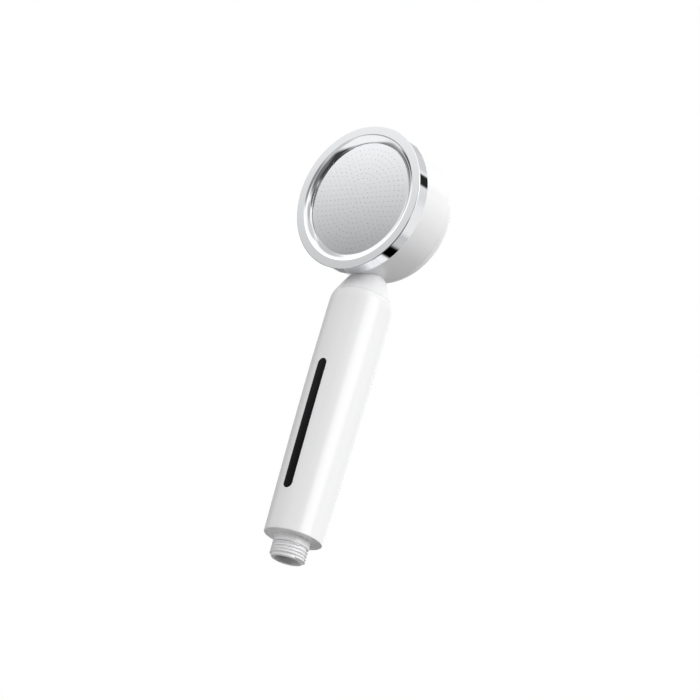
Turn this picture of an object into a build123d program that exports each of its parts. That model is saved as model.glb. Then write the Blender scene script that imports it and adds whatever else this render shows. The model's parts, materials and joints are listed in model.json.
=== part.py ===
"""Handheld filter shower head: white handle with a window strip, drum head, chrome face ring.

Origin: centre of the inlet nipple's end face. +Z runs up the handle, the spray face looks towards -Y.
All sizes are in millimetres.
"""
from build123d import *
from math import cos, radians, sin
import os

os.makedirs("parts", exist_ok=True)

# ---------------------------------------------------------------- driving dimensions
# overall
cut_margin = 1.0           # cutting shapes reach this far past the surface
handle_length = 150.8      # underside of the handle to the parting line under the head
head_radius = 44.6         # chrome face ring, outside
drum_length = 24.7         # ring's rear face to the seam of the back cover
head_tilt = 9.0            # the spray face looks this many degrees below level
head_rise = head_radius + 7.7    # parting line to the centre of the spray face
head_reach = 31.06         # handle axis to the centre of the spray face

# inlet: a G1/2 male hose thread
inlet_length = 12.9
thread_major = 10.478
thread_minor = 9.316
thread_pitch = 1.814
thread_turns = 4
thread_end_angle = -22.0   # where the ridge runs out, from +X
thread_ridge_base = 1.7
thread_ridge_crest = 0.35
thread_land = 0.03         # the ridge's crest stays this much under the collar
thread_relief = 0.5        # collar to the end of the ridge
collar_length = 4.2        # plain full-diameter land above the thread
tip_chamfer = 0.5
mouth_bore = 7.2           # mouth of the inlet, clear of the strainer
mouth_depth = 3.5
inlet_bore = 6.9
outlet_bore = 5.0          # above the flow restrictor

# handle sleeve
base_radius = 17.0
grip_radius = 19.05
base_chamfer = 0.45
base_flare = 0.026         # taper of the sleeve at its lower end
barrel_length = 20.0       # straight part under the shoulder
shoulder_height = 8.4
shoulder_drop = 1.1        # how far the shoulder has turned in at the parting line
shoulder_lean = 0.42       # inwards per unit upwards, at the parting line
sleeve_wall = 2.0
window_length = 80.0
window_width = 6.2
window_rise = 24.0         # underside of the handle to the window's lower end
window_gap = 0.08

# end cap and inner tube
end_disc_radius = 15.0
end_disc_thickness = 1.5
sleeve_lip = 2.0           # lip of the sleeve, held between end disc and inner tube
plug_radius = base_radius - sleeve_wall - 2.1
plug_length = 9.6          # above the end disc
tube_gap = 0.15            # inner tube to sleeve
tube_wall = 1.8
plug_socket_length = 12.0
bond_gap = 0.1             # glued or welded joints
cap_groove_drop = 3.6      # plug's top to the middle of its o-ring groove
threaded_depth = 11.0      # parting line to the bottom of the neck thread's bore

# neck thread
neck_pitch = 3.0
neck_bore = grip_radius - sleeve_wall - tube_gap - tube_wall    # root of the female thread
neck_bore_crest = neck_bore - 0.75
neck_crest = neck_bore - 0.25
neck_root = neck_bore - 1.0      # core of the male thread
seal_bore = neck_root - 0.2      # the neck o-ring runs here
neck_turns = 2.0
neck_ridge_base = 1.4
neck_ridge_crest = 0.7
neck_thread_gap = 0.1      # floor of the bore to the first ridge

# neck connector
run_gap = 0.15             # moving parts, round
face_gap = 0.1             # moving parts, face to face
connector_depth = 22.6     # below the parting line
connector_plug = 11.5
connector_plug_length = 6.3
socket_depth = 10.0        # socket for the cartridge spigot, below the web
socket_wall = 2.0
water_bore = 6.1
neck_port = 5.5
port_offset = 0.5          # the port lies this much to the front
neck_groove_rise = 4.0     # connector's lower end to the middle of its o-ring groove

# seals
oring_section = 1.8
oring_gap = 0.05           # o-ring to each wall
groove_width = 2.4
cap_section = oring_section - 0.1
neck_section = oring_section - 0.2
spigot_section = oring_section - 0.35

# filter cartridge
cartridge_radius = plug_radius - 0.5
foot_height = 2.0
foot_radius = 1.5
foot_circle = 9.0
foot_count = 4
filter_cap_thickness = 4.0
media_recess = 2.0         # how deep the media and the core sit in the caps
cap_rim = 0.5              # rim of a cap round the media
core_radius = 4.2
core_wall = 1.1
core_hole_radius = 1.1
core_hole_rows = 14
core_holes_per_row = 6
media_inner = 5.2
pleat_count = 28
pleat_gap = 0.3
pleat_depth = 4.0
spigot_length = 9.0
spigot_gap = 0.08          # spigot to its socket
spigot_groove_drop = 3.4   # spigot's end to the middle of its groove

# flow restrictor and strainer
restrictor_thickness = 3.0
restrictor_rise = 7.0
restrictor_hole_radius = 0.9
restrictor_hole_circle = 3.8
restrictor_holes = 6
restrictor_chamfer = 0.4
strainer_rim = 0.8
strainer_cup_radius = 5.0
strainer_depth = 3.2
strainer_wall = 0.5
strainer_hole = 0.45
strainer_step = 3 * strainer_hole
strainer_holes_a_side = 5

# drum
seam_gap = 0.15            # ring to drum
ring_length = 8.3
drum_front_radius = head_radius - 1.0
drum_seam_radius = head_radius - 2.5
drum_wall = 2.7
boss_root = head_radius - 4.2    # core of the male face thread
boss_crest = head_radius - 3.55
boss_front = 3.1           # face plane to the front of the threaded boss
boss_bore = head_radius - 8.1
plate_recess_wall = 1.9    # wall outside the plate's recess
chamber_front_wall = 1.6
cover_socket_depth = 4.8
cover_socket_step = 0.1    # the socket is this much wider than the chamber

# neck dome
dome_height = 16.5
dome_top_height = 16.0     # where its outline ends, inside the drum
dome_top_inset = 9.9       # how far it has turned in there
dome_lean_low = 0.5        # inwards per unit upwards, at the parting line
dome_lean_top = 1.3

# face ring
ring_front_edge = 0.3
annulus_inner = head_radius - 5.2
lip_radius = head_radius - 9.5
lip_depth = 2.2
lip_thickness = 0.6
bevel_sag_radius = head_radius - 7.4
bevel_sag_depth = 0.75
ring_bore = head_radius - 3.3
ring_bore_crest = head_radius - 3.95
face_pitch = 1.5
face_turns = (ring_length - 5.3) / face_pitch
face_thread_rise = 0.85    # ring's rear face to the first ridge of the drum
face_ridge_base = 0.8
face_ridge_crest = 0.35

# spray plate set
washer_thickness = 0.4
washer_inset = 0.6         # washer's bore outside the lip's edge
plate_thickness = 0.6
gasket_thickness = 1.4
spray_hole_radius = 0.2
spray_ring_step = 3.1
spray_rings = int((lip_radius - 4.0) / spray_ring_step)
support_thickness = 4.0
support_rim = 2.4
support_spokes = 6
support_rib = 1.6
support_rings = (0.25 * head_radius, 0.5 * head_radius)

# water distributor
distributor_thickness = 2.4
distributor_hole_radius = 1.6
distributor_hole_rings = ((0.22 * head_radius, 8), (0.43 * head_radius, 14), (0.63 * head_radius, 20))
screw_circle_wall = 1.9    # from the chamber's front bore to the screw's axis
screw_shank = 0.85
screw_length = 5.0
screw_end_gap = 0.5
screw_head_radius = 1.7
screw_head_height = 1.3
screw_count = 3
screw_slot = 0.5
screw_slot_depth = 0.6
screw_head_inset = 0.4     # the head is cut back at the chamber's wall

# back cover
cover_depth = 13.5
cover_round_in = 3.6       # the rounded edge: inwards and back
cover_round_back = 8.5
cover_lean = 5.0           # degrees the cover leans in at the seam
cover_wall = 2.3
skirt_wall = 3.0
cover_seal_section = 1.4
cover_groove_width = 2.0
cover_groove_drop = 2.4    # socket's floor to the middle of the groove

# ---------------------------------------------------------------- heights along the handle
underside = inlet_length
parting = underside + handle_length
shoulder_start = parting - shoulder_height
barrel_start = shoulder_start - barrel_length
disc_top = underside + end_disc_thickness
lip_top = disc_top + sleeve_lip
plug_top = disc_top + plug_length
socket_top = lip_top + plug_socket_length
thread_floor = parting - threaded_depth
connector_bottom = parting - connector_depth
cartridge_top = connector_bottom - run_gap
cartridge_bottom = plug_top + foot_height
window_bottom = underside + window_rise
window_top = window_bottom + window_length
shoulder_end_radius = grip_radius - shoulder_drop

# ---------------------------------------------------------------- head frame
face_up = Vector(0, -sin(radians(head_tilt)), cos(radians(head_tilt)))
face_out = Vector(0, -cos(radians(head_tilt)), -sin(radians(head_tilt)))
face_plane = Plane(
    origin=(0, -head_reach, parting + head_rise),
    x_dir=(1, 0, 0),
    z_dir=face_out,
)
# profiles of the head are drawn with x outwards from the head's axis and y towards the spray side
head_section = Plane(
    origin=face_plane.origin,
    x_dir=(1, 0, 0),
    z_dir=-face_up,
)
head_axis = Axis(face_plane.origin, face_out)

drum_front = -(ring_length + seam_gap)
seam = drum_front - drum_length
ledge = -(lip_depth + lip_thickness + washer_thickness + plate_thickness + gasket_thickness)
boss_top = -boss_front
chamber_front = drum_front - chamber_front_wall
cover_socket = seam + cover_socket_depth
chamber_radius = drum_seam_radius - drum_wall
recess_radius = boss_root - plate_recess_wall
cover_socket_radius = chamber_radius + cover_socket_step
plate_back = -(lip_depth + lip_thickness + washer_thickness + plate_thickness)
plate_radius = recess_radius - run_gap


# ---------------------------------------------------------------- shared shapes
def thread_ridge(plane, start, turn_angle, pitch, turns, root, crest, base_width, crest_width):
    """One helical thread ridge about the plane's Z axis. A crest smaller than its root points inwards."""
    with BuildPart() as ridge:
        with BuildLine() as path:
            Helix(pitch, pitch * turns, root)
        with BuildSketch(Plane(path.line @ 0, x_dir=(1, 0, 0), z_dir=path.line % 0)):
            with BuildLine():
                Polyline(
                    (0, -base_width / 2),
                    (crest - root, -crest_width / 2),
                    (crest - root, crest_width / 2),
                    (0, base_width / 2),
                    close=True,
                )
            make_face()
        sweep(path=path.line, is_frenet=True)
    return plane.location * Pos(0, 0, start) * Rot(0, 0, turn_angle) * ridge.part


# section of the handle's tapered wall, which the sleeve and the window lens share
with BuildSketch(Plane.XZ) as sleeve_profile:
    with BuildLine():
        outer = Spline(
            (base_radius, underside),
            (grip_radius, barrel_start),
            tangents=[(base_flare, 1), (0, 1)],
        )
        inner = Spline(
            (base_radius - sleeve_wall, underside),
            (grip_radius - sleeve_wall, barrel_start),
            tangents=[(base_flare, 1), (0, 1)],
        )
        Line(outer @ 1, (grip_radius, shoulder_start))
        Line((grip_radius, shoulder_start), (grip_radius - sleeve_wall, shoulder_start))
        Line((grip_radius - sleeve_wall, shoulder_start), inner @ 1)
        Line(inner @ 0, outer @ 0)
    make_face()

# ---------------------------------------------------------------- inlet cap
root_overlap = 0.15        # ridges start this far inside their wall
inlet_ridge_start = underside - collar_length - thread_relief - thread_pitch * thread_turns
inlet_ridge = thread_ridge(
    Plane.XY, inlet_ridge_start, thread_end_angle, thread_pitch, thread_turns,
    thread_minor - root_overlap, thread_major - thread_land, thread_ridge_base, thread_ridge_crest,
)
cap_groove = plug_top - cap_groove_drop
with BuildPart() as inlet_cap:
    with BuildSketch(Plane.XZ):
        with BuildLine():
            Polyline(
                (inlet_bore, mouth_depth),
                (mouth_bore, mouth_depth),
                (mouth_bore, 0),
                (thread_minor - tip_chamfer, 0),
                (thread_minor, tip_chamfer),
                (thread_minor, underside - collar_length),
                (thread_major, underside - collar_length),
                (thread_major, underside),
                (end_disc_radius, underside),
                (end_disc_radius, disc_top),
                (plug_radius, disc_top),
                (plug_radius, plug_top),
                (outlet_bore, plug_top),
                (outlet_bore, restrictor_rise + restrictor_thickness),
                (inlet_bore, restrictor_rise + restrictor_thickness),
                close=True,
            )
        make_face()
    revolve(axis=Axis.Z)
    add(inlet_ridge)
    with BuildSketch(Plane.XZ):
        with Locations((plug_radius, cap_groove)):
            Rectangle(2 * cap_section, groove_width)
    revolve(axis=Axis.Z, mode=Mode.SUBTRACT)
inlet_cap.part.label = "inlet_cap"
export_step(inlet_cap.part, "parts/inlet_cap.step")

# ---------------------------------------------------------------- inlet cap o-ring
plug_socket = plug_radius + bond_gap
with BuildPart() as inlet_cap_oring:
    with BuildSketch(Plane.XZ):
        with Locations((plug_socket - oring_gap / 2 - cap_section / 2, cap_groove)):
            Circle(cap_section / 2)
    revolve(axis=Axis.Z)
inlet_cap_oring.part.label = "inlet_cap_oring"
export_step(inlet_cap_oring.part, "parts/inlet_cap_oring.step")

# ---------------------------------------------------------------- flow restrictor
with BuildPart() as flow_restrictor:
    with BuildSketch(Plane.XY.offset(restrictor_rise)):
        Circle(inlet_bore - bond_gap)
        with PolarLocations(restrictor_hole_circle, restrictor_holes):
            Circle(restrictor_hole_radius, mode=Mode.SUBTRACT)
        Circle(restrictor_hole_radius, mode=Mode.SUBTRACT)
    extrude(amount=restrictor_thickness)
    rim_edge = flow_restrictor.edges().group_by(Axis.Z)[0].sort_by(SortBy.RADIUS)[-1]
    chamfer(rim_edge, restrictor_chamfer)
flow_restrictor.part.label = "flow_restrictor"
export_step(flow_restrictor.part, "parts/flow_restrictor.step")

# ---------------------------------------------------------------- inlet strainer
strainer_top = restrictor_rise
with BuildPart() as inlet_strainer:
    with BuildSketch(Plane.XZ):
        with BuildLine():
            Polyline(
                (0, strainer_top - strainer_depth),
                (strainer_cup_radius, strainer_top - strainer_depth),
                (strainer_cup_radius, strainer_top - strainer_rim),
                (inlet_bore - bond_gap, strainer_top - strainer_rim),
                (inlet_bore - bond_gap, strainer_top),
                (strainer_cup_radius - strainer_wall, strainer_top),
                (strainer_cup_radius - strainer_wall, strainer_top - strainer_depth + strainer_wall),
                (0, strainer_top - strainer_depth + strainer_wall),
                close=True,
            )
        make_face()
    revolve(axis=Axis.Z)
    with BuildSketch(Plane.XY.offset(strainer_top - strainer_depth)):
        with GridLocations(strainer_step, strainer_step, strainer_holes_a_side, strainer_holes_a_side):
            Circle(strainer_hole)
    extrude(amount=strainer_wall, mode=Mode.SUBTRACT)
inlet_strainer.part.label = "inlet_strainer"
export_step(inlet_strainer.part, "parts/inlet_strainer.step")

# ---------------------------------------------------------------- handle sleeve
with BuildPart() as handle_shell:
    revolve(sleeve_profile.sketch, axis=Axis.Z)
    # rounded shoulder up to the parting line
    with BuildSketch(Plane.XZ):
        with BuildLine():
            shoulder = Spline(
                (grip_radius, shoulder_start),
                (shoulder_end_radius, parting),
                tangents=[(0, 1), (-shoulder_lean, 1)],
            )
            Line(shoulder @ 1, (grip_radius - sleeve_wall, parting))
            Line((grip_radius - sleeve_wall, parting), (grip_radius - sleeve_wall, shoulder_start))
            Line((grip_radius - sleeve_wall, shoulder_start), (grip_radius, shoulder_start))
        make_face()
    revolve(axis=Axis.Z)
    # inward lip at the lower end
    with BuildSketch(Plane.XY.offset(underside)):
        Circle(base_radius - sleeve_wall / 2)
        Circle(plug_radius + run_gap, mode=Mode.SUBTRACT)
    extrude(amount=end_disc_thickness + sleeve_lip)
    # seat of the end disc
    with BuildSketch(Plane.XY.offset(underside)):
        Circle(end_disc_radius + bond_gap)
    extrude(amount=end_disc_thickness, mode=Mode.SUBTRACT)
    # window slot in the front
    with BuildSketch(Plane.XZ):
        with Locations((0, (window_bottom + window_top) / 2)):
            SlotOverall(window_length, window_width, rotation=90)
    extrude(amount=2 * grip_radius, mode=Mode.SUBTRACT)
    base_edges = handle_shell.edges().filter_by(GeomType.CIRCLE).group_by(Axis.Z)[0]
    chamfer(base_edges.sort_by(SortBy.RADIUS)[-1], base_chamfer)
handle_shell.part.label = "handle_shell"
export_step(handle_shell.part, "parts/handle_shell.step")

# ---------------------------------------------------------------- window lens
with BuildPart() as window_lens:
    revolve(sleeve_profile.sketch, axis=Axis.Z)
    with BuildSketch(Plane.XZ):
        with Locations((0, (window_bottom + window_top) / 2)):
            SlotOverall(window_length - 2 * window_gap, window_width - 2 * window_gap, rotation=90)
    extrude(amount=2 * grip_radius, mode=Mode.INTERSECT)
window_lens.part.label = "window_lens"
export_step(window_lens.part, "parts/window_lens.step")

# ---------------------------------------------------------------- inner tube
tube_in = sleeve_wall + tube_gap
neck_female_start = thread_floor + neck_ridge_base / 2 + neck_thread_gap
neck_female_ridge = thread_ridge(
    Plane.XY, neck_female_start, 0, neck_pitch, neck_turns + 0.5,
    neck_bore + root_overlap, neck_bore_crest, neck_ridge_base, neck_ridge_crest,
)
with BuildPart() as inner_tube:
    with BuildSketch(Plane.XZ):
        with BuildLine():
            outer = Spline(
                (base_radius - tube_in + base_flare * (lip_top - underside), lip_top),
                (grip_radius - tube_in, barrel_start),
                tangents=[(base_flare, 1), (0, 1)],
            )
            Polyline(
                outer @ 1,
                (grip_radius - tube_in, parting - face_gap),
                (neck_bore, parting - face_gap),
                (neck_bore, thread_floor),
                (seal_bore, thread_floor),
                (seal_bore, connector_bottom),
                (plug_socket, socket_top),
                (plug_socket, lip_top),
                outer @ 0,
            )
        make_face()
    revolve(axis=Axis.Z)
    add(neck_female_ridge)
inner_tube.part.label = "inner_tube"
export_step(inner_tube.part, "parts/inner_tube.step")

# ---------------------------------------------------------------- filter cartridge
with BuildPart() as filter_bottom_cap:
    with BuildSketch(Plane.XY.offset(cartridge_bottom)):
        Circle(cartridge_radius)
    extrude(amount=filter_cap_thickness)
    with BuildSketch(Plane.XY.offset(cartridge_bottom + filter_cap_thickness - media_recess)):
        Circle(cartridge_radius - cap_rim)
    extrude(amount=media_recess, mode=Mode.SUBTRACT)
    with BuildSketch(Plane.XY.offset(plug_top)):
        with PolarLocations(foot_circle, foot_count):
            Circle(foot_radius)
    extrude(amount=foot_height)
filter_bottom_cap.part.label = "filter_bottom_cap"
export_step(filter_bottom_cap.part, "parts/filter_bottom_cap.step")

top_cap_bottom = cartridge_top - filter_cap_thickness
spigot_groove = cartridge_top + spigot_length - spigot_groove_drop
spigot_radius = water_bore - spigot_gap
with BuildPart() as filter_top_cap:
    with BuildSketch(Plane.XZ):
        with BuildLine():
            Polyline(
                (core_radius - core_wall, top_cap_bottom + media_recess),
                (cartridge_radius - cap_rim, top_cap_bottom + media_recess),
                (cartridge_radius - cap_rim, top_cap_bottom),
                (cartridge_radius, top_cap_bottom),
                (cartridge_radius, cartridge_top),
                (spigot_radius, cartridge_top),
                (spigot_radius, cartridge_top + spigot_length),
                (core_radius - core_wall, cartridge_top + spigot_length),
                close=True,
            )
        make_face()
    revolve(axis=Axis.Z)
    with BuildSketch(Plane.XZ):
        with Locations((spigot_radius, spigot_groove)):
            Rectangle(2 * neck_section, groove_width)
    revolve(axis=Axis.Z, mode=Mode.SUBTRACT)
filter_top_cap.part.label = "filter_top_cap"
export_step(filter_top_cap.part, "parts/filter_top_cap.step")

media_bottom = cartridge_bottom + filter_cap_thickness - media_recess
media_top = top_cap_bottom + media_recess
media_length = media_top - media_bottom
with BuildPart() as filter_core:
    with BuildSketch(Plane.XY.offset(media_bottom)):
        Circle(core_radius)
        Circle(core_radius - core_wall, mode=Mode.SUBTRACT)
    extrude(amount=media_length)
    row_step = (media_length - 2 * filter_cap_thickness) / core_hole_rows
    for row in range(core_hole_rows):
        row_height = media_bottom + filter_cap_thickness + row_step * (row + 0.5)
        with Locations(Plane.XY.offset(row_height)):
            with PolarLocations(0, core_holes_per_row // 2, start_angle=30 * (row % 2), angular_range=180):
                Cylinder(core_hole_radius, 3 * core_radius, rotation=(0, 90, 0), mode=Mode.SUBTRACT)
filter_core.part.label = "filter_core"
export_step(filter_core.part, "parts/filter_core.step")

media_outer = cartridge_radius - cap_rim - pleat_gap
media_fold = media_outer - pleat_depth
with BuildPart() as filter_media:
    with BuildSketch(Plane.XY.offset(media_bottom)):
        with BuildLine():
            pleat_points = []
            for pleat in range(pleat_count):
                half = 180 / pleat_count
                crest = radians(2 * half * pleat)
                fold = radians(2 * half * pleat + half)
                pleat_points.append((media_outer * cos(crest), media_outer * sin(crest)))
                pleat_points.append((media_fold * cos(fold), media_fold * sin(fold)))
            Polyline(*pleat_points, close=True)
        make_face()
        Circle(media_inner, mode=Mode.SUBTRACT)
    extrude(amount=media_length)
filter_media.part.label = "filter_media"
export_step(filter_media.part, "parts/filter_media.step")

with BuildPart() as filter_spigot_oring:
    with BuildSketch(Plane.XZ):
        with Locations((water_bore - oring_gap - spigot_section / 2, spigot_groove)):
            Circle(spigot_section / 2)
    revolve(axis=Axis.Z)
filter_spigot_oring.part.label = "filter_spigot_oring"
export_step(filter_spigot_oring.part, "parts/filter_spigot_oring.step")

# ---------------------------------------------------------------- neck connector
web_bottom = connector_bottom + socket_depth
connector_sleeve = seal_bore - run_gap
connector_well = connector_sleeve - socket_wall - oring_section
neck_groove = connector_bottom + neck_groove_rise
neck_male_ridge = thread_ridge(
    Plane.XY, neck_female_start + neck_pitch / 2, 0, neck_pitch, neck_turns,
    neck_root - root_overlap, neck_crest, neck_ridge_base, neck_ridge_crest,
)
with BuildPart() as neck_connector:
    with BuildSketch(Plane.XZ):
        with BuildLine():
            Polyline(
                (water_bore, connector_bottom),
                (water_bore + socket_wall, connector_bottom),
                (water_bore + socket_wall, web_bottom),
                (connector_well, web_bottom),
                (connector_well, connector_bottom),
                (connector_sleeve, connector_bottom),
                (connector_sleeve, thread_floor),
                (neck_root, thread_floor + run_gap),
                (neck_root, parting),
                (connector_plug, parting),
                (connector_plug, parting + connector_plug_length),
                (water_bore, parting + connector_plug_length),
                close=True,
            )
        make_face()
    revolve(axis=Axis.Z)
    add(neck_male_ridge)
    with BuildSketch(Plane.XZ):
        with Locations((connector_sleeve, neck_groove)):
            Rectangle(2 * neck_section, groove_width)
    revolve(axis=Axis.Z, mode=Mode.SUBTRACT)
neck_connector.part.label = "neck_connector"
export_step(neck_connector.part, "parts/neck_connector.step")

with BuildPart() as neck_oring:
    with BuildSketch(Plane.XZ):
        with Locations((seal_bore - oring_gap - neck_section / 2, neck_groove)):
            Circle(neck_section / 2)
    revolve(axis=Axis.Z)
neck_oring.part.label = "neck_oring"
export_step(neck_oring.part, "parts/neck_oring.step")

# ---------------------------------------------------------------- head body: drum and neck dome
face_male_start = drum_front + face_thread_rise
face_male_ridge = thread_ridge(
    face_plane, face_male_start, 0, face_pitch, face_turns,
    boss_root - root_overlap, boss_crest, face_ridge_base, face_ridge_crest,
)
screw_circle = boss_bore + screw_circle_wall
with BuildPart() as head_body:
    # neck dome, from the parting line into the underside of the drum
    with BuildSketch(Plane.XZ):
        with BuildLine():
            dome = Spline(
                (shoulder_end_radius, parting + face_gap),
                (shoulder_end_radius - dome_top_inset, parting + dome_top_height),
                tangents=[(-dome_lean_low, 1), (-dome_lean_top, 1)],
            )
            Polyline(dome @ 1, (0, parting + dome_height), (0, parting + face_gap), dome @ 0)
        make_face()
    revolve(axis=Axis.Z)
    # drum
    with BuildSketch(head_section):
        with BuildLine():
            Polyline(
                (0, drum_front),
                (drum_front_radius, drum_front),
                (drum_seam_radius, seam),
                (0, seam),
                close=True,
            )
        make_face()
    revolve(axis=head_axis)
    with BuildSketch(face_plane.offset(drum_front)):
        Circle(boss_root)
    extrude(amount=boss_top - drum_front)
    # recess for the spray plate, bore of the boss, chamber, socket of the back cover
    with BuildSketch(head_section):
        with BuildLine():
            Polyline(
                (0, boss_top + cut_margin),
                (recess_radius, boss_top + cut_margin),
                (recess_radius, ledge),
                (boss_bore, ledge),
                (boss_bore, chamber_front),
                (chamber_radius, chamber_front),
                (chamber_radius, cover_socket),
                (cover_socket_radius, cover_socket),
                (cover_socket_radius, seam - cut_margin),
                (0, seam - cut_margin),
                close=True,
            )
        make_face()
    revolve(axis=head_axis, mode=Mode.SUBTRACT)
    # water way and socket of the neck connector
    with BuildSketch(Plane.XY.offset(parting)):
        Circle(connector_plug + bond_gap)
    extrude(amount=connector_plug_length, mode=Mode.SUBTRACT)
    with BuildSketch(Plane.XY.offset(parting)):
        with Locations((0, -port_offset)):
            Circle(neck_port)
    extrude(amount=dome_height + drum_wall + cut_margin, mode=Mode.SUBTRACT)
    # pilot holes of the distributor screws
    with BuildSketch(face_plane.offset(chamber_front)):
        with PolarLocations(screw_circle, screw_count, start_angle=90):
            Circle(screw_shank + oring_gap)
    extrude(amount=screw_length, mode=Mode.SUBTRACT)
    add(face_male_ridge)
head_body.part.label = "head_body"
export_step(head_body.part, "parts/head_body.step")

# ---------------------------------------------------------------- back cover
skirt_radius = cover_socket_radius - bond_gap
skirt_inner = skirt_radius - skirt_wall
skirt_front = cover_socket - bond_gap
cover_groove = cover_socket - cover_groove_drop
with BuildPart() as back_cover:
    with BuildSketch(head_section):
        with BuildLine():
            outer = Spline(
                (drum_seam_radius, seam),
                (drum_seam_radius - cover_round_in, seam - cover_round_back),
                (0, seam - cover_depth),
                tangents=[(-sin(radians(cover_lean)), -cos(radians(cover_lean))), (-1, 0)],
            )
            inner = Spline(
                (skirt_inner, seam),
                (skirt_inner - cover_round_in, seam - cover_round_back + cover_wall),
                (0, seam - cover_depth + cover_wall),
                tangents=[(-sin(radians(cover_lean)), -cos(radians(cover_lean))), (-1, 0)],
            )
            Polyline(
                inner @ 0,
                (skirt_inner, skirt_front),
                (skirt_radius, skirt_front),
                (skirt_radius, seam),
                outer @ 0,
            )
            Line(outer @ 1, inner @ 1)
        make_face()
    revolve(axis=head_axis)
    with BuildSketch(head_section):
        with Locations((skirt_radius, cover_groove)):
            Rectangle(2 * cover_seal_section, cover_groove_width)
    revolve(axis=head_axis, mode=Mode.SUBTRACT)
back_cover.part.label = "back_cover"
export_step(back_cover.part, "parts/back_cover.step")

with BuildPart() as back_cover_oring:
    with BuildSketch(head_section):
        with Locations((cover_socket_radius - oring_gap - cover_seal_section / 2, cover_groove)):
            Circle(cover_seal_section / 2)
    revolve(axis=head_axis)
back_cover_oring.part.label = "back_cover_oring"
export_step(back_cover_oring.part, "parts/back_cover_oring.step")

# ---------------------------------------------------------------- water distributor
distributor_back = chamber_front - distributor_thickness
with BuildPart() as water_distributor:
    with BuildSketch(face_plane.offset(chamber_front)):
        Circle(chamber_radius - bond_gap)
        for ring_radius, hole_count in distributor_hole_rings:
            with PolarLocations(ring_radius, hole_count):
                Circle(distributor_hole_radius, mode=Mode.SUBTRACT)
        with PolarLocations(screw_circle, screw_count, start_angle=90):
            Circle(screw_shank + bond_gap, mode=Mode.SUBTRACT)
    extrude(amount=-distributor_thickness)
water_distributor.part.label = "water_distributor"
export_step(water_distributor.part, "parts/water_distributor.step")

# ---------------------------------------------------------------- distributor screws
with BuildPart() as distributor_screws:
    with BuildSketch(face_plane.offset(distributor_back)):
        with PolarLocations(screw_circle, screw_count, start_angle=90):
            Circle(screw_shank)
    extrude(amount=distributor_thickness + screw_length - screw_end_gap)
    with BuildSketch(face_plane.offset(distributor_back)):
        with PolarLocations(screw_circle - screw_head_inset, screw_count, start_angle=90):
            Circle(screw_head_radius - screw_head_inset)
    extrude(amount=-screw_head_height)
    with BuildSketch(face_plane.offset(distributor_back - screw_head_height)):
        with PolarLocations(screw_circle - screw_head_inset, screw_count, start_angle=90):
            Rectangle(2 * screw_head_radius, screw_slot)
    extrude(amount=screw_slot_depth, mode=Mode.SUBTRACT)
distributor_screws.part.label = "distributor_screws"
export_step(distributor_screws.part, "parts/distributor_screws.step")

# ---------------------------------------------------------------- spray plate set
plate_front = plate_back + plate_thickness
with BuildPart() as spray_plate:
    with BuildSketch(face_plane.offset(plate_back)):
        Circle(plate_radius)
        Circle(spray_hole_radius, mode=Mode.SUBTRACT)
        for ring_number in range(1, spray_rings + 1):
            with PolarLocations(ring_number * spray_ring_step, 6 * ring_number):
                Circle(spray_hole_radius, mode=Mode.SUBTRACT)
    extrude(amount=plate_thickness)
spray_plate.part.label = "spray_plate"
export_step(spray_plate.part, "parts/spray_plate.step")

with BuildPart() as plate_gasket:
    with BuildSketch(face_plane.offset(ledge)):
        Circle(plate_radius)
        Circle(boss_bore + run_gap, mode=Mode.SUBTRACT)
    extrude(amount=gasket_thickness)
plate_gasket.part.label = "plate_gasket"
export_step(plate_gasket.part, "parts/plate_gasket.step")

support_radius = boss_bore - run_gap
support_back = face_plane.offset(plate_back - support_thickness)
with BuildPart() as plate_support:
    with BuildSketch(support_back):
        Circle(support_radius)
        Circle(support_radius - support_rim, mode=Mode.SUBTRACT)
        for rib_radius in support_rings:
            Circle(rib_radius + support_rib / 2)
            Circle(rib_radius - support_rib / 2, mode=Mode.SUBTRACT)
        with PolarLocations(support_radius / 2, support_spokes):
            Rectangle(support_radius - support_rim / 2, support_rib)
    extrude(amount=support_thickness)
plate_support.part.label = "plate_support"
export_step(plate_support.part, "parts/plate_support.step")

# ---------------------------------------------------------------- face ring
lip_back = -(lip_depth + lip_thickness)
face_female_ridge = thread_ridge(
    face_plane, face_male_start + face_pitch / 2, 0, face_pitch, face_turns,
    ring_bore + root_overlap, ring_bore_crest, face_ridge_base, face_ridge_crest,
)
with BuildPart() as face_ring:
    with BuildSketch(head_section):
        with BuildLine():
            bevel = ThreePointArc(
                (annulus_inner, 0),
                (bevel_sag_radius, -bevel_sag_depth),
                (lip_radius, -lip_depth),
            )
            Polyline(
                bevel @ 1,
                (lip_radius, lip_back),
                (ring_bore, lip_back),
                (ring_bore, -ring_length),
                (head_radius, -ring_length),
                (head_radius, -ring_front_edge),
                (head_radius - ring_front_edge, 0),
                bevel @ 0,
            )
        make_face()
    revolve(axis=head_axis)
    add(face_female_ridge)
face_ring.part.label = "face_ring"
export_step(face_ring.part, "parts/face_ring.step")

with BuildPart() as slip_washer:
    with BuildSketch(face_plane.offset(plate_front)):
        Circle(plate_radius)
        Circle(lip_radius + washer_inset, mode=Mode.SUBTRACT)
    extrude(amount=washer_thickness)
slip_washer.part.label = "slip_washer"
export_step(slip_washer.part, "parts/slip_washer.step")
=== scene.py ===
"""Handheld filter shower head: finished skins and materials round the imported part.

Everything is in metres, in the part's own frame: +Z up the handle, spray face towards -Y.
"""
import bpy
import json
from math import atan2, cos, pi, radians, sin
from mathutils import Matrix, Vector


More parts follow.
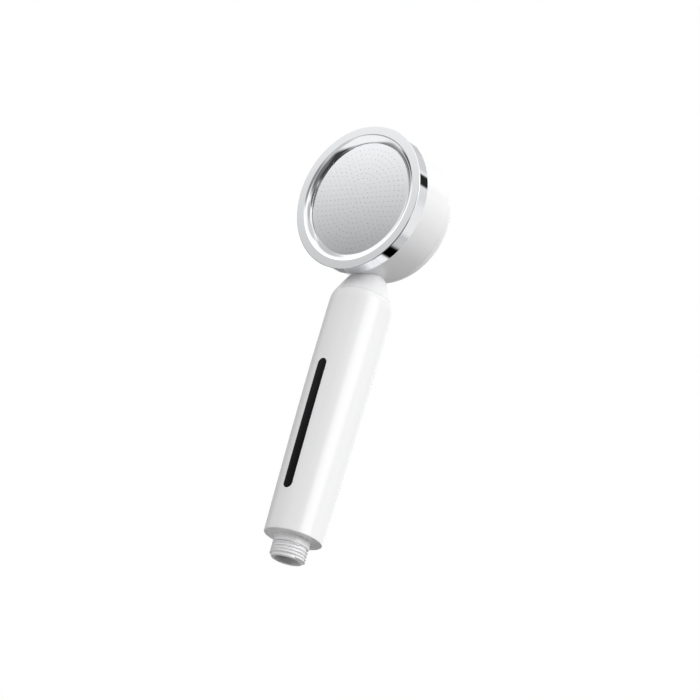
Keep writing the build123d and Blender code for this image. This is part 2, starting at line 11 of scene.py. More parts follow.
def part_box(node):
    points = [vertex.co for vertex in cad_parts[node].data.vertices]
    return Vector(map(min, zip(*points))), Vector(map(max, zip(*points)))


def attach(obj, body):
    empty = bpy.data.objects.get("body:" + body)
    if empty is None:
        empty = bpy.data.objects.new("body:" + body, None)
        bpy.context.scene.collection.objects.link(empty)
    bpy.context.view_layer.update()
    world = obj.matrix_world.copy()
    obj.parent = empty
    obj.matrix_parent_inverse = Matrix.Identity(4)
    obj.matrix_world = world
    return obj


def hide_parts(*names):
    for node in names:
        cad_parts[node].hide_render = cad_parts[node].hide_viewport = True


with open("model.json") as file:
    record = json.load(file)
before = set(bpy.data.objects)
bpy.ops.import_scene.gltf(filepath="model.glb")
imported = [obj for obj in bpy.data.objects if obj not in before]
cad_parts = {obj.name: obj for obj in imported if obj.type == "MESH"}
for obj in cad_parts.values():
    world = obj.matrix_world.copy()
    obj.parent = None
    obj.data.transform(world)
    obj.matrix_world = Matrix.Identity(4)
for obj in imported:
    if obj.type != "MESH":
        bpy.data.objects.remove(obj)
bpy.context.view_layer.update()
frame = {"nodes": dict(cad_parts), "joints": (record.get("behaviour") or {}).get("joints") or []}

mm = 0.001
turn_steps = 192           # facets round a turned piece
ridge_steps = 96           # facets in one turn of a thread ridge
weld = 0.002               # mm: nearer points than this are one
edge_hold = 0.12           # mm of flat face kept beside a rounded edge, so that the face shades flat


# ---------------------------------------------------------------- small tools
def linear(hex_colour):
    """An sRGB hex colour as a linear RGBA value."""
    channels = [int(hex_colour[i:i + 2], 16) / 255 for i in (1, 3, 5)]
    return tuple(c / 12.92 if c <= 0.04045 else ((c + 0.055) / 1.055) ** 2.4 for c in channels) + (1.0,)


def add_node(tree, kind, feeds=None, **settings):
    """Adds a node. Settings are its sockets' or its own values, and feeds joins its inputs to other sockets."""
    node = tree.nodes.new(kind)
    for name, value in settings.items():
        socket = name.replace("_", " ")
        if socket in node.inputs:
            node.inputs[socket].default_value = value
        else:
            setattr(node, name, value)
    for name, source in (feeds or {}).items():
        tree.links.new(source, node.inputs[name])
    return node


def deselect():
    """Nothing selected, object mode."""
    if bpy.context.object and bpy.context.object.mode != "OBJECT":
        bpy.ops.object.mode_set(mode="OBJECT")
    bpy.ops.object.select_all(action="DESELECT")


def select_only(piece):
    """The one piece that the next operators act on."""
    deselect()
    piece.select_set(True)
    bpy.context.view_layer.objects.active = piece


def apply_modifier(piece, kind, **settings):
    """Adds a modifier with its settings and applies it."""
    select_only(piece)
    modifier = piece.modifiers.new(kind.lower(), kind)
    for name, value in settings.items():
        setattr(modifier, name, value)
    bpy.ops.object.modifier_apply(modifier=modifier.name)


def cut(piece, tool, operation="DIFFERENCE"):
    """Boolean of a piece with a tool, which is used up."""
    apply_modifier(piece, "BOOLEAN", object=tool, operation=operation, solver="EXACT")
    bpy.data.objects.remove(tool)


def settle(piece, place=None, smooth_angle=32):
    """Puts a finished piece in its place with its object at the origin, and smooths its faces."""
    select_only(piece)
    if place is not None:
        piece.matrix_world = place @ piece.matrix_world
    bpy.ops.object.transform_apply(location=True, rotation=True, scale=True)
    bpy.ops.object.shade_smooth_by_angle(angle=radians(smooth_angle))
    return piece


def finished(piece, body, slot, material, *nodes):
    """A piece in its finish, on its body, in place of its CAD nodes."""
    settle(piece)
    piece.data.materials.clear()
    piece.data.materials.append(material)
    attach(piece, body)
    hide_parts(*nodes)


# ---------------------------------------------------------------- outlines, in mm
def curve_between(start, end, start_way, end_way, count):
    """Points of a smooth curve from start to end that leaves and arrives in the given directions."""
    span = Vector(end) - Vector(start)
    leave = Vector(start_way).normalized() * span.length
    arrive = Vector(end_way).normalized() * span.length
    points = []
    for i in range(count + 1):
        t = i / count
        points.append(
            (2 * t**3 - 3 * t**2 + 1) * Vector(start) + (t**3 - 2 * t**2 + t) * leave
            + (3 * t**2 - 2 * t**3) * Vector(end) + (t**3 - t**2) * arrive
        )
    return [(p.x, p.y, 0) for p in points]


def rounded(corners, count=5):
    """An outline with its corners rounded. Each corner is (radius, height, rounding)."""
    points = []
    for i, (x, y, rounding) in enumerate(corners):
        here = Vector((x, y))
        if rounding == 0:
            points.append(here)
            continue
        before = Vector(corners[i - 1][:2])
        after = Vector(corners[(i + 1) % len(corners)][:2])
        to_before = (before - here).normalized()
        to_after = (after - here).normalized()
        half = to_before.angle(to_after) / 2
        slope = abs(sin(half) / cos(half))
        room = min((before - here).length, (after - here).length)
        reach = min(rounding / slope, room / 2.01)
        radius = reach * slope
        hold = min(reach + edge_hold, room / 2)
        if hold > reach:
            points.append(here + to_before * hold)
        middle = here + (to_before + to_after).normalized() * (radius / sin(half))
        first = here + to_before * reach - middle
        last = here + to_after * reach - middle
        sweep = first.angle_signed(last)
        for k in range(count + 1):
            arm = first.copy()
            arm.rotate(Matrix.Rotation(-sweep * k / count, 2))
            points.append(middle + arm)
        if hold > reach:
            points.append(here + to_after * hold)
    return points


def lathe(name, corners, steps=turn_steps):
    """A turned piece about Z: one vertex is drawn out along the outline, which is then spun."""
    outline = rounded(corners)
    deselect()
    bpy.ops.mesh.primitive_plane_add(size=mm)
    piece = bpy.context.active_object
    piece.name = name
    bpy.ops.object.mode_set(mode="EDIT")
    bpy.ops.mesh.merge(type="CENTER")
    at = Vector((0, 0))
    for i, point in enumerate(outline):
        step = (point - at) * mm
        move = (step.x, 0, step.y)
        if i == 0:
            bpy.ops.transform.translate(value=move)
        else:
            bpy.ops.mesh.extrude_region_move(TRANSFORM_OT_translate={"value": move})
        at = point
    bpy.ops.mesh.select_all(action="SELECT")
    if corners[0][0] > 0 and corners[-1][0] > 0:
        bpy.ops.mesh.select_all(action="DESELECT")
        bpy.ops.object.mode_set(mode="OBJECT")
        piece.data.vertices[0].select = True
        piece.data.vertices[len(piece.data.vertices) - 1].select = True
        bpy.ops.object.mode_set(mode="EDIT")
        bpy.ops.mesh.edge_face_add()
        bpy.ops.mesh.select_all(action="SELECT")
    bpy.ops.mesh.spin(steps=steps, angle=2 * pi, center=(0, 0, 0), axis=(0, 0, 1))
    bpy.ops.mesh.select_all(action="SELECT")
    bpy.ops.mesh.remove_doubles(threshold=weld * mm)
    bpy.ops.mesh.normals_make_consistent(inside=False)
    bpy.ops.object.mode_set(mode="OBJECT")
    return piece


def thread_ridge(name, root, crest, start, pitch, turns, base, top):
    """A helical ridge about Z, in mm: a flat section wound up with a Screw modifier, its two ends closed."""
    deselect()
    bpy.ops.mesh.primitive_plane_add(size=1)
    ridge = bpy.context.active_object
    ridge.name = name
    section = [(root, -base / 2), (crest, -top / 2), (crest, top / 2), (root, base / 2)]
    bpy.ops.object.mode_set(mode="EDIT")
    bpy.ops.mesh.delete(type="ONLY_FACE")
    bpy.ops.object.mode_set(mode="OBJECT")
    order = sorted(ridge.data.vertices, key=lambda v: atan2(v.co.y, v.co.x))
    for vertex, (radius, rise) in zip(order, section if crest > root else section[::-1]):
        vertex.co = (radius * mm, 0, (start + rise) * mm)
    apply_modifier(
        ridge, "SCREW", angle=2 * pi * turns, screw_offset=pitch * turns * mm, axis="Z",
        steps=int(ridge_steps * turns), render_steps=int(ridge_steps * turns), use_merge_vertices=False,
    )
    bpy.ops.object.mode_set(mode="EDIT")
    bpy.ops.mesh.select_all(action="SELECT")
    bpy.ops.mesh.fill_holes(sides=0)
    bpy.ops.mesh.select_all(action="SELECT")
    bpy.ops.mesh.normals_make_consistent(inside=False)
    bpy.ops.object.mode_set(mode="OBJECT")
    return ridge


# ---------------------------------------------------------------- sizes that the frame gives, in mm
def node_box(node):
    """A CAD node's lowest and highest corner in mm."""
    low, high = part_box(node)
    return low / mm, high / mm


joints = {joint["name"]: joint for joint in frame["joints"]}
face_centre = Vector(joints["ring_unscrew"]["pos_m"])
face_out = Vector(joints["ring_unscrew"]["axis"]).normalized()
face_up = face_out.cross(Vector((1, 0, 0)))
head_turn = Matrix((Vector((1, 0, 0)), face_up, face_out)).transposed()
head_place = Matrix.Translation(face_centre) @ head_turn.to_4x4()

sleeve_low, sleeve_high = node_box("handle_shell")
window_low, window_high = node_box("window_lens")
cap_high = node_box("inlet_cap")[1]
ring_high = node_box("face_ring")[1]
drum_high = node_box("head_body")[1]


# ---------------------------------------------------------------- finishes
def finish(name, hex_colour, roughness, grain_size, bump, rough_spread=0.0, **shader_values):
    """A material whose surface grain, in mm, moves its gloss and its relief a little."""
    material = bpy.data.materials.new(name)
    material.use_nodes = True
    tree = material.node_tree
    tree.nodes.clear()
    shader = add_node(
        tree, "ShaderNodeBsdfPrincipled", Base_Color=linear(hex_colour), Roughness=roughness, **shader_values
    )
    add_node(tree, "ShaderNodeOutputMaterial", {"Surface": shader.outputs["BSDF"]})
    place = add_node(tree, "ShaderNodeTexCoord")
    grain = add_node(
        tree, "ShaderNodeTexNoise", {"Vector": place.outputs["Object"]}, Scale=1 / (grain_size * mm), Detail=3.0
    )
    gloss = add_node(
        tree, "ShaderNodeMapRange", {"Value": grain.outputs["Fac"]},
        From_Min=0.3, From_Max=0.7, To_Min=roughness - rough_spread, To_Max=roughness + rough_spread,
    )
    tree.links.new(gloss.outputs["Result"], shader.inputs["Roughness"])
    relief = add_node(
        tree, "ShaderNodeBump", {"Height": grain.outputs["Fac"]}, Strength=1.0, Distance=bump * mm
    )
    tree.links.new(relief.outputs["Normal"], shader.inputs["Normal"])
    return material


# ABS moulded in a polished tool: hard, opaque and glossy, with broad soft highlights and a faint flow waviness
white_abs = finish("glossy_moulded_abs", "#F3F3F4", 0.18, 2.5, 0.002, 0.03, IOR=1.53)

# ABS from a plain tool, as parts that nobody sees have it: the same white with a dull, slightly pebbled skin
inner_abs = finish("moulded_abs", "#E9E9EA", 0.32, 0.8, 0.01, 0.05, IOR=1.53)

# smoked polycarbonate moulded against a mirror tool, over a dark tube: reads as flat glossy black glass
smoked_lens = finish(
    "smoked_polycarbonate_lens", "#050506", 0.05, 3.0, 0.001, 0.02, IOR=1.58, Specular_IOR_Level=0.06
)

# smoked polycarbonate, extruded: a see-through grey wall with the slight draw lines of its die
smoked_tube = finish(
    "smoked_polycarbonate_tube", "#3A3B3D", 0.12, 2.0, 0.002, 0.03, IOR=1.58, Transmission_Weight=0.5
)

# compression-moulded nitrile rubber: nearly black and matt, with a fine dusty tooth
seal_rubber = finish("moulded_rubber", "#1B1B1B", 0.65, 0.4, 0.02, 0.08)

# acetal, dyed blue and moulded: waxy, half matt, the usual colour of a flow restrictor
blue_acetal = finish("blue_acetal", "#2C5FA8", 0.38, 0.5, 0.01, 0.05, IOR=1.48)

# natural grey acetal, moulded and ribbed: waxy and half matt, without a clear reflection
grey_acetal = finish("grey_acetal", "#A9ABAD", 0.42, 0.5, 0.01, 0.05, IOR=1.48)

# polypropylene moulded caps: a warmer and softer white than ABS, with a greasy sheen
white_polypropylene = finish("moulded_polypropylene", "#EDEDE9", 0.45, 0.6, 0.01, 0.05, IOR=1.49)

# melt-blown fleece: a matt felt of very fine fibres, drawn here as coarse as 0.15 mm so that it shows
filter_fleece = finish("melt_blown_fleece", "#F1F0EA", 0.9, 0.15, 0.06, 0.05, Sheen_Weight=0.3)

# photo-etched stainless mesh: dull grey metal with painted shade in its colour, darker than the sheet so that
# it stands in for the shade in its fine holes and inside the inlet's bore
strainer_mesh_painted_shade = finish("etched_mesh_painted_shade", "#5C5D5E", 0.35, 0.1, 0.005, 0.05, Metallic=1.0)

# zinc-plated steel, barrel plated: bluish grey metal with small uneven spots in its gloss
zinc_screw = finish("zinc_plated_steel", "#B9BBBD", 0.28, 0.3, 0.004, 0.06, Metallic=1.0)

# stainless sheet, rolled bright and then lightly blasted: a soft blurred mirror with a fine grain, which is
# drawn as coarse as 0.7 mm so that it shows
satin_stainless = finish("satin_stainless_sheet", "#E8E9EB", 0.2, 0.7, 0.012, 0.07, Metallic=1.0)

# chrome plated over a polished moulding: a hard mirror, black and white by turns, with the least orange peel
chrome_plate = finish("polished_chrome_plate", "#F1F2F4", 0.045, 6.0, 0.001, 0.015, Metallic=1.0)

# skived PTFE sheet: a chalky white, slippery face with no clear highlight
ptfe_sheet = finish("ptfe_sheet", "#E8E8E6", 0.5, 0.5, 0.005, 0.05, IOR=1.38)

node_finish = {
    "handle_shell": white_abs, "window_lens": smoked_lens, "inlet_cap": white_abs, "inner_tube": smoked_tube,
    "inlet_cap_oring": seal_rubber, "flow_restrictor": blue_acetal, "inlet_strainer": strainer_mesh_painted_shade,
    "filter_bottom_cap": white_polypropylene, "filter_core": white_polypropylene,
    "filter_top_cap": white_polypropylene, "filter_media": filter_fleece, "filter_spigot_oring": seal_rubber,
    "head_body": white_abs, "neck_connector": inner_abs, "neck_oring": seal_rubber, "back_cover": white_abs,
    "back_cover_oring": seal_rubber, "water_distributor": grey_acetal, "distributor_screws": zinc_screw,
    "spray_plate": satin_stainless, "plate_support": grey_acetal, "plate_gasket": seal_rubber,
    "face_ring": chrome_plate, "slip_washer": ptfe_sheet,
}
for node, material in node_finish.items():
    mesh = frame["nodes"][node].data
    mesh.materials.clear()
    mesh.materials.append(material)


# ---------------------------------------------------------------- handle sleeve
def sleeve_curve(inset, bottom, straight_end):
    """The handle's tapered outline, moved in by an inset and cut off at the bottom."""
    full = curve_between(
        (base_radius - inset, underside), (grip_radius - inset, straight_end), (base_flare, 1), (0, 1), 24
    )
    kept = [corner for corner in full if corner[1] > bottom + 1]
    at_bottom = (base_radius - inset + base_flare * (bottom - underside), bottom, 0)
    return [at_bottom] + kept


def slot_tool(name, slack):
    """A long round-ended prism that stands where the window is, smaller all round by the slack."""
    radius = (window_high.x - window_low.x) / 2 + window_gap - slack
    middle_low = window_low.z - window_gap + slack + radius
    middle_high = window_high.z + window_gap - slack - radius
    deselect()
    bpy.ops.mesh.primitive_circle_add(
        vertices=64, radius=radius * mm, fill_type="NGON",
        location=(0, -tool_start * mm, middle_low * mm), rotation=(pi / 2, 0, 0),
    )
    tool = bpy.context.active_object
    tool.name = name
    bpy.ops.object.transform_apply(location=True, rotation=True, scale=True)
    for vertex in tool.data.vertices:
        if vertex.co.z > (middle_low + above_middle) * mm:
            vertex.co.z += (middle_high - middle_low) * mm
    bpy.ops.object.mode_set(mode="EDIT")
    bpy.ops.mesh.select_all(action="SELECT")
    bpy.ops.mesh.extrude_region_move(TRANSFORM_OT_translate={"value": (0, -tool_length * mm, 0)})
    bpy.ops.mesh.select_all(action="SELECT")
    bpy.ops.mesh.normals_make_consistent(inside=False)
    bpy.ops.object.mode_set(mode="OBJECT")
    return tool


tool_start = 8             # the window's tool runs out from here, through the sleeve's wall
tool_length = 16
above_middle = 0.0001      # points higher than this over the lower round end's middle move up
underside = sleeve_low.z
parting = sleeve_high.z
base_radius = 17.0
base_flare = 0.026
grip_radius = sleeve_high.x
sleeve_wall = 2.0
straight_start = parting - 28.4
shoulder_start = parting - 8.4
shoulder_end = grip_radius - 1.1
window_gap = 0.08
end_disc_radius = 15.0
end_disc_thickness = 1.5
disc_gap = 0.1             # end disc to the sleeve's opening
lip_top = underside + 3.5  # the sleeve's inner lip, over the end disc
lip_bore = 13.05

outer_side = sleeve_curve(0, underside, straight_start)
inner_side = sleeve_curve(sleeve_wall, lip_top, straight_start)
shoulder = curve_between((grip_radius, shoulder_start), (shoulder_end, parting), (0, 1), (-0.42, 1), 10)
handle_sleeve = lathe("handle_sleeve", [
    (end_disc_radius + disc_gap, underside, 0.15),
    (base_radius, underside, 0.5),
    *outer_side[1:],
    *shoulder[:-1],
    (shoulder_end, parting, 0.12),
    (grip_radius - sleeve_wall, parting, 0.15),
    *reversed(inner_side),
    (lip_bore, lip_top, 0),
    (lip_bore, underside + end_disc_thickness, 0),
    (end_disc_radius + disc_gap, underside + end_disc_thickness, 0),
])
cut(handle_sleeve, slot_tool("window_opening", 0))
finished(handle_sleeve, "handle", "white_abs", white_abs, "handle_shell")

# ---------------------------------------------------------------- window strip
window_strip = lathe("window_strip", [
    (base_radius - sleeve_wall, underside, 0),
    *outer_side,
    (grip_radius, shoulder_start, 0),
    (grip_radius - sleeve_wall, shoulder_start, 0),
    *reversed(sleeve_curve(sleeve_wall, underside, straight_start)),
])
cut(window_strip, slot_tool("window_outline", window_gap), "INTERSECT")
finished(window_strip, "handle", "smoked_lens", smoked_lens, "window_lens")

# ---------------------------------------------------------------- threaded inlet
thread_major = 10.478
thread_minor = 9.316
thread_pitch = 1.814
collar = underside - 4.2
mouth_bore = 7.2
mouth_depth = 3.5
inlet_bore = 6.9
outlet_bore = 5.0
bore_step = 10.0           # where the bore narrows
plug_radius = 12.9
plug_groove = 11.2         # floor of the seal groove
thread_land = 0.03         # crest of the ridge under the collar's surface
thread_relief = 0.5
thread_turns = 4
thread_end = -22           # degrees from +X to the ridge's start
inlet_nipple = lathe("inlet_nipple", [
    (inlet_bore, mouth_depth, 0),
    (mouth_bore, mouth_depth, 0),
    (mouth_bore, 0, 0.25),
    (thread_minor - 0.5, 0, 0.2),
    (thread_minor, 0.5, 0.3),
    (thread_minor, collar, 0),
    (thread_major, collar, 0.2),
    (thread_major, underside, 0.25),
    (end_disc_radius, underside, 0.15),
    (end_disc_radius, underside + end_disc_thickness, 0),
    (plug_radius, underside + end_disc_thickness, 0),
    (plug_radius, cap_high.z - 4.8, 0),
    (plug_groove, cap_high.z - 4.8, 0),
    (plug_groove, cap_high.z - 2.4, 0),
    (plug_radius, cap_high.z - 2.4, 0),
    (plug_radius, cap_high.z, 0.4),
    (outlet_bore, cap_high.z, 0),
    (outlet_bore, bore_step, 0),
    (inlet_bore, bore_step, 0),
])
inlet_ridge = thread_ridge(
    "inlet_ridge", thread_minor - 0.15, thread_major - thread_land,
    collar - thread_relief - thread_turns * thread_pitch, thread_pitch, thread_turns, 1.7, 0.35,
)
inlet_ridge.rotation_euler.z = radians(thread_end)
cut(inlet_nipple, inlet_ridge, "UNION")
finished(inlet_nipple, "handle", "white_abs", white_abs, "inlet_cap")

# ---------------------------------------------------------------- head: drum and neck dome
drum_front_radius = drum_high.x
head_radius = ring_high.x
drum_seam_radius = head_radius - 2.5
drum_front = -8.45         # depths are heights over the spray face's plane, negative inside
seam = -33.15
boss_front = -3.1
boss_root = head_radius - 4.2
boss_bore = head_radius - 8.1
recess_bore = head_radius - 6.1
recess_floor = -5.2
chamber_bore = drum_seam_radius - 2.7
socket_bore = drum_seam_radius - 2.6
socket_floor = seam + 4.8
chamber_front = drum_front - 1.6
face_pitch = 1.5
face_turns = 2
face_ridge_base = 0.8
face_ridge_top = 0.35
cut_margin = 1.0           # cutting shapes reach this far past the surface
dome_foot = parting + 0.1  # gap to the handle
connector_bore = 11.6
water_bore = 5.5
drum_shell = lathe("drum_shell", [
    (0, boss_front, 0),
    (boss_root, boss_front, 0.2),
    (boss_root, drum_front, 0),
    (drum_front_radius, drum_front, 0.2),
    (drum_seam_radius, seam, 0.15),
    (0, seam, 0),
])
settle(drum_shell, head_place)
dome = curve_between((shoulder_end, dome_foot), (shoulder_end - 9.9, parting + 16), (-0.5, 1), (-1.3, 1), 20)
neck_dome = lathe("neck_dome", [
    (0, dome_foot, 0),
    (shoulder_end, dome_foot, 0.12),
    *dome[1:],
    (0, parting + 16.5, 0),
])
cut(drum_shell, neck_dome, "UNION")
chamber = lathe("chamber", [
    (0, boss_front + cut_margin, 0),
    (recess_bore, boss_front + cut_margin, 0),
    (recess_bore, recess_floor, 0),
    (boss_bore, recess_floor, 0),
    (boss_bore, chamber_front, 0),
    (chamber_bore, chamber_front, 0),
    (chamber_bore, socket_floor, 0),
    (socket_bore, socket_floor, 0),
    (socket_bore, seam - cut_margin, 0),
    (0, seam - cut_margin, 0),
])
settle(chamber, head_place)
cut(drum_shell, chamber)
water_way = lathe("water_way", [
    (0, parting - cut_margin, 0),
    (connector_bore, parting - cut_margin, 0),
    (connector_bore, parting + 6.3, 0),
    (water_bore, parting + 6.3, 0),
    (water_bore, parting + 20.2, 0),
    (0, parting + 20.2, 0),
], turn_steps // 2)
cut(drum_shell, water_way)
drum_ridge = thread_ridge(
    "drum_ridge", boss_root - 0.15, boss_root + 0.65, drum_front + 0.85,
    face_pitch, face_turns, face_ridge_base, face_ridge_top,
)
settle(drum_ridge, head_place)
cut(drum_shell, drum_ridge, "UNION")
finished(drum_shell, "head", "white_abs", white_abs, "head_body")

# ---------------------------------------------------------------- back cover
cover_lean = radians(5)
cover_wall = 2.3
cover_depth = 13.5
skirt_radius = chamber_bore
skirt_inner = skirt_radius - 3.0
skirt_front = seam + 4.7


def cover_curve(edge_radius, edge, depth, inset):
    """The rounded back of the cover, from its edge in to the axis, in two runs."""
    turn = (edge_radius - 3.6, edge - 8.5 + inset)    # where the edge's curve has nearly come round
    lean = (-sin(cover_lean), -cos(cover_lean))
    across = Vector(turn) - Vector((edge_radius, edge))
    onward = Vector((0, edge - depth)) - Vector(turn)
    middle_way = across.normalized() * 0.55 + onward.normalized() * 0.45
    first = curve_between((edge_radius, edge), turn, lean, middle_way, 14)
    second = curve_between(turn, (0, edge - depth), middle_way * 0.6, (-1, 0), 30)
    return first + second[1:]


rear_cover = lathe("rear_cover", [
    (skirt_radius, seam, 0),
    (drum_seam_radius, seam, 0.15),
    *cover_curve(drum_seam_radius, seam, cover_depth, 0)[1:],
    *reversed(cover_curve(skirt_inner, seam, cover_depth - cover_wall, cover_wall)),
    (skirt_inner, skirt_front, 0.3),
    (skirt_radius, skirt_front, 0.3),
    (skirt_radius, seam + 3.4, 0),
    (skirt_radius - 1.4, seam + 3.4, 0),
    (skirt_radius - 1.4, seam + 1.4, 0),
    (skirt_radius, seam + 1.4, 0),
])
finished(settle(rear_cover, head_place), "head", "white_abs", white_abs, "back_cover")

# ---------------------------------------------------------------- chrome face ring
annulus_inner = head_radius - 5.2
lip_radius = head_radius - 9.5
lip_front = -2.2
lip_back = -2.8
ring_bore = head_radius - 3.3
ring_back = -8.3
front_chamfer = 0.3
bevel_face = curve_between((annulus_inner, 0), (lip_radius, lip_front), (-1, -0.18), (-1, -0.95), 10)
chrome_ring = lathe("chrome_ring", [
    (head_radius - front_chamfer, 0, 0.25),
    (annulus_inner, 0, 0.1),
    *bevel_face[1:-1],
    (lip_radius, lip_front, 0.12),
    (lip_radius, lip_back, 0),
    (ring_bore, lip_back, 0),
    (ring_bore, ring_back, 0.15),
    (head_radius, ring_back, 0.2),
    (head_radius, -front_chamfer, 0.25),
])
ring_ridge = thread_ridge(
    "ring_ridge", ring_bore + 0.15, ring_bore - 0.65, drum_front + 1.6,
    face_pitch, face_turns, face_ridge_base, face_ridge_top,
)
cut(chrome_ring, ring_ridge, "UNION")
finished(settle(chrome_ring, head_place), "ring", "chrome_plate", chrome_plate, "face_ring")

# ---------------------------------------------------------------- perforated spray plate
plate_radius = head_radius - 6.25
plate_back = -3.8
plate_dome = 0.9
sheet_thickness = 0.6
sheet_front = plate_back + sheet_thickness
hole_step = 3.1
hole_rings = 10
hole_radius = 0.22
pin_length = 6             # the tool that cuts a hole, which ends at the face's plane


def domed(height, radii):
    """Outline points of a dome that rises to plate_dome over a height at the middle."""
    return [(r, height + plate_dome * (1 - (r / plate_radius) ** 2), 0) for r in radii]


spray_plate_sheet = lathe("spray_plate_sheet", [
    (0, plate_back + plate_dome, 0),
    *domed(plate_back, range(4, 38, 4)),
    (plate_radius, plate_back, 0),
    (plate_radius, sheet_front, 0.1),
    *domed(sheet_front, range(37, 0, -2)),
    (0, sheet_front + plate_dome, 0),
])
deselect()
bpy.ops.mesh.primitive_circle_add(
    vertices=8, radius=hole_radius * mm, fill_type="NGON", location=(0, 0, -pin_length * mm)
)
hole_pin = bpy.context.active_object
bpy.ops.object.transform_apply(location=True, rotation=True, scale=True)
bpy.ops.object.mode_set(mode="EDIT")
bpy.ops.mesh.select_all(action="SELECT")
bpy.ops.mesh.extrude_region_move(TRANSFORM_OT_translate={"value": (0, 0, pin_length * mm)})
bpy.ops.mesh.select_all(action="SELECT")
bpy.ops.mesh.normals_make_consistent(inside=False)
bpy.ops.object.mode_set(mode="OBJECT")
deselect()
for ring_number in range(1, hole_rings + 1):
    circle = ring_number * hole_step * mm
    for k in range(6 * ring_number):
        turn = 2 * pi * k / (6 * ring_number)
        pin = hole_pin.copy()
        pin.data = hole_pin.data.copy()
        pin.location = (circle * cos(turn), circle * sin(turn), 0)
        bpy.context.collection.objects.link(pin)
        pin.select_set(True)
hole_pin.select_set(True)
bpy.context.view_layer.objects.active = hole_pin
bpy.ops.object.join()
bpy.ops.object.transform_apply(location=True, rotation=True, scale=True)
cut(spray_plate_sheet, hole_pin)
finished(settle(spray_plate_sheet, head_place), "plate_set", "stainless_plate", satin_stainless, "spray_plate")

# ---------------------------------------------------------------- studio: camera, light and floor
def turned_view(azimuth, elevation, roll, aim_right, aim_down, distance, target, focal_widths):
    """A camera that looks at the target from a side, rolled, and aimed a little off it."""
    back = Vector((sin(azimuth) * cos(elevation), -cos(azimuth) * cos(elevation), sin(elevation)))
    level = Vector((0, 0, 1)).cross(back).normalized()
    upright = back.cross(level)
    right = cos(roll) * level + sin(roll) * upright
    up = -sin(roll) * level + cos(roll) * upright
    aim = Matrix.Rotation(aim_right, 3, up)
    right = aim @ right
    back_aimed = aim @ back
    aim = Matrix.Rotation(aim_down, 3, right)
    up = aim @ up
    back_aimed = aim @ back_aimed
    data = bpy.data.cameras.new("studio_camera")
    data.sensor_width = 36.0
    data.lens = focal_widths * data.sensor_width
    data.clip_start = 0.01
    camera = bpy.data.objects.new("studio_camera", data)
    bpy.context.scene.collection.objects.link(camera)
    turn = Matrix((right, up, back_aimed)).transposed().to_4x4()
    camera.matrix_world = Matrix.Translation(target + back * distance) @ turn
    return camera


camera = turned_view(
    azimuth=radians(41.33), elevation=radians(-20.36), roll=radians(16.41),
    aim_right=radians(-0.187), aim_down=radians(0.481), distance=1.2,
    target=Vector((0, 0, 0.12)), focal_widths=2.9573,
)
bpy.context.scene.camera = camera
bpy.context.scene.view_settings.view_transform = "Standard"


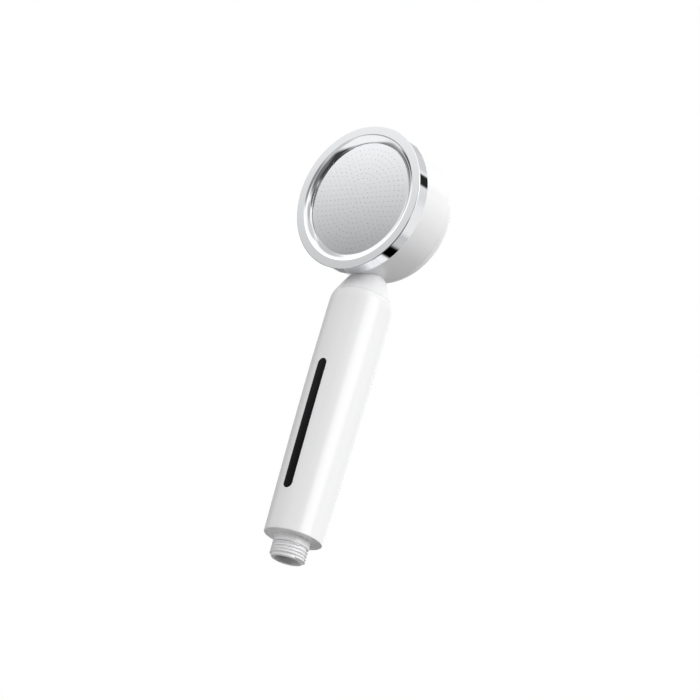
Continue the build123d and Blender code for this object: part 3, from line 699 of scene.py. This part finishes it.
def studio_world():
    """White surroundings for the eye, and a softer studio with grey flags for what the surfaces reflect."""
    world = bpy.data.worlds.new("studio")
    bpy.context.scene.world = world
    world.use_nodes = True
    tree = world.node_tree
    tree.nodes.clear()
    way = add_node(tree, "ShaderNodeTexCoord").outputs["Generated"]

    def toward(azimuth, elevation, inner, outer):
        """1 within the inner angle of a direction, falling to 0 at the outer one, all in degrees."""
        az, el = radians(azimuth), radians(elevation)
        aim = (sin(az) * cos(el), -cos(az) * cos(el), sin(el))
        dot = add_node(tree, "ShaderNodeVectorMath", {0: way}, operation="DOT_PRODUCT")
        dot.inputs[1].default_value = aim
        soft = add_node(
            tree, "ShaderNodeMapRange", {"Value": dot.outputs["Value"]}, interpolation_type="SMOOTHSTEP",
            From_Min=cos(radians(outer)), From_Max=cos(radians(inner)), To_Min=0.0, To_Max=1.0,
        )
        return soft.outputs["Result"]

    def blended(level, mask, value):
        """The level, moved to value, a number or a socket, where the mask is 1."""
        mix = add_node(tree, "ShaderNodeMix", {"Factor": mask, 2: level}, data_type="FLOAT")
        if isinstance(value, float):
            mix.inputs[3].default_value = value
        else:
            tree.links.new(value, mix.inputs[3])
        return mix.outputs[0]

    start = add_node(tree, "ShaderNodeValue")
    start.outputs[0].default_value = studio_level
    level = start.outputs[0]
    for azimuth, elevation, inner, outer, value in studio_zones:
        level = blended(level, toward(azimuth, elevation, inner, outer), value)
    height = add_node(tree, "ShaderNodeSeparateXYZ", {"Vector": way}).outputs["Z"]
    low, high, dark, bright = front_card_ramp
    ramp = add_node(
        tree, "ShaderNodeMapRange", {"Value": height},
        From_Min=sin(radians(low)), From_Max=sin(radians(high)), To_Min=dark, To_Max=bright,
    )
    level = blended(level, toward(*front_card), ramp.outputs["Result"])
    for azimuth, elevation, inner, outer, value in studio_flags:
        level = blended(level, toward(azimuth, elevation, inner, outer), value)
    seen = add_node(tree, "ShaderNodeLightPath")
    to_eye = seen.outputs["Is Camera Ray"]
    lit = add_node(tree, "ShaderNodeMix", {"Factor": to_eye, 2: level}, data_type="FLOAT")
    lit.inputs[3].default_value = 1.0
    surround = add_node(tree, "ShaderNodeBackground", {"Strength": lit.outputs[0]}, Color=(1, 1, 1, 1))
    add_node(tree, "ShaderNodeOutputWorld", {"Surface": surround.outputs["Background"]})


# each: azimuth from the spray side towards +X, elevation, inner and outer angle, brightness
studio_level = 1.1
studio_zones = (
    (0, -90, 54, 88, 0.05),        # dim below
    (-115, -15, 28, 66, 0.27),     # dim side, left of the spray face
    (-140, 22, 10, 20, 1.2),       # rim card
    (155, 18, 12, 26, 0.74),       # grey card behind
    (80, 22, 10, 28, 4.0),         # softbox on the key side
    (-42, -34, 20, 32, 1.0),       # low white card
    (-42, 36, 22, 34, 1.3),        # high white card
)
front_card = (-38, 11, 13, 24)     # card that the flat faces reflect: darker at its foot
front_card_ramp = (3, 19, 0.18, 1.35)
studio_flags = (
    (-62, 5, 2.5, 9, 0.08),        # black flags that the ring's edges reflect
    (-88, 5, 5, 15, 0.08),
    (-11, -1, 8, 15, 0.3),
    (-21, -12, 4, 12, 0.6),
    (172, 50, 7, 16, 0.7),
    (18, -16, 8, 25, 0.17),
    (142, -2, 10, 22, 0.9),
    (147, 39, 4.5, 8, 0.02),
    (-160, 48, 4, 12, 0.65),
    (154, -24, 3, 9, 0.6),
    (-177, -34, 3, 8, 1.0),
    (168, -31, 4, 7.5, 0.0),
    (-148, -19, 5, 11, 0.03),
    (42, 4, 10, 20, 0.15),
    (-35, 62, 10, 26, 0.6),
    (9, 38, 8, 18, 0.7),
    (20, 20, 5, 14, 0.5),
    (42, -30, 8, 18, 0.05),
)
studio_world()

deselect()
bpy.ops.mesh.primitive_plane_add(size=0.8, location=(0, 0, -1.2))
floor = bpy.context.active_object
floor.name = "studio_floor"
# flat emulsion on a smooth floor: an even, very pale matt ground
floor.data.materials.append(finish("pale_floor_paint", "#EDEDEC", 0.6, 4.0, 0.05, 0.05))
